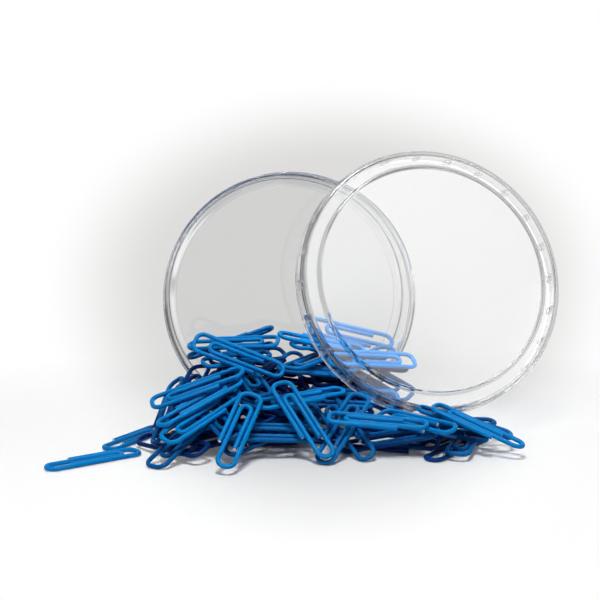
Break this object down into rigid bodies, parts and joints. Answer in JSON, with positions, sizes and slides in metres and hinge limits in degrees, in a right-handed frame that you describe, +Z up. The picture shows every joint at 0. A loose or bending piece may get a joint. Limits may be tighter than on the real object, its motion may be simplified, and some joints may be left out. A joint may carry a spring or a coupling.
{
  "type": "paper clip holder",
  "caption": "Clear round snap-lid tub for paper clips, open on its edge, with coated wire clips spilling from the dish and the lid leaning on them.",
  "frame": {"origin": "middle of the arrangement's footprint, on the table", "axes": "+Z up, the dish opens towards -Y, +X to the right as seen from there"},
  "size_m": [0.1758, 0.0838, 0.0974],
  "materials": {
    "clear_plastic": "clear moulded polystyrene, polished",
    "coated_wire": "blue vinyl coat on steel wire, satin"
  },
  "bodies": {
    "heap": {"heap_clips_01": "coated_wire", "heap_clips_02": "coated_wire", "heap_clips_03": "coated_wire", "heap_clips_04": "coated_wire", "heap_clips_05": "coated_wire", "heap_clips_06": "coated_wire", "heap_clips_07": "coated_wire", "heap_clips_08": "coated_wire", "heap_clips_09": "coated_wire", "heap_clips_10": "coated_wire", "heap_clips_11": "coated_wire", "heap_clips_12": "coated_wire"},
    "dish": {"base_dish": "clear_plastic"},
    "lid": {"lid": "clear_plastic"},
    "stray_clip_01": {"stray_clip_01": "coated_wire"},
    "stray_clip_02": {"stray_clip_02": "coated_wire"},
    "top_clip_01": {"top_clip_01": "coated_wire"},
    "top_clip_02": {"top_clip_02": "coated_wire"},
    "top_clip_03": {"top_clip_03": "coated_wire"},
    "top_clip_04": {"top_clip_04": "coated_wire"},
    "top_clip_05": {"top_clip_05": "coated_wire"},
    "top_clip_06": {"top_clip_06": "coated_wire"},
    "top_clip_07": {"top_clip_07": "coated_wire"}
  },
  "joints": [
    {"name": "dish_pull", "type": "slide", "parent": "heap", "child": "dish", "axis": [0, 1, 0], "range_m": [0, 0.025]},
    {"name": "lid_lift", "type": "slide", "parent": "heap", "child": "lid", "axis": [-0.0366, 0.3483, 0.9367], "range_m": [0, 0.1]},
    {"name": "stray_clip_01_lift", "type": "slide", "parent": "heap", "child": "stray_clip_01", "axis": [0, 0, 1], "range_m": [0, 0.1]},
    {"name": "stray_clip_02_lift", "type": "slide", "parent": "heap", "child": "stray_clip_02", "axis": [0, 0, 1], "range_m": [0, 0.1]},
    {"name": "top_clip_01_lift", "type": "slide", "parent": "heap", "child": "top_clip_01", "axis": [0, 0, 1], "range_m": [0, 0.1]},
    {"name": "top_clip_02_lift", "type": "slide", "parent": "heap", "child": "top_clip_02", "axis": [0, 0, 1], "range_m": [0, 0.1]},
    {"name": "top_clip_03_lift", "type": "slide", "parent": "heap", "child": "top_clip_03", "axis": [0, 0, 1], "range_m": [0, 0.1]},
    {"name": "top_clip_04_lift", "type": "slide", "parent": "heap", "child": "top_clip_04", "axis": [0, 0, 1], "range_m": [0, 0.1]},
    {"name": "top_clip_05_lift", "type": "slide", "parent": "heap", "child": "top_clip_05", "axis": [0, 0, 1], "range_m": [0, 0.1]},
    {"name": "top_clip_06_lift", "type": "slide", "parent": "heap", "child": "top_clip_06", "axis": [0, 0, 1], "range_m": [0, 0.1]},
    {"name": "top_clip_07_lift", "type": "slide", "parent": "heap", "child": "top_clip_07", "axis": [0, 0, 1], "range_m": [0, 0.1]}
  ]
}
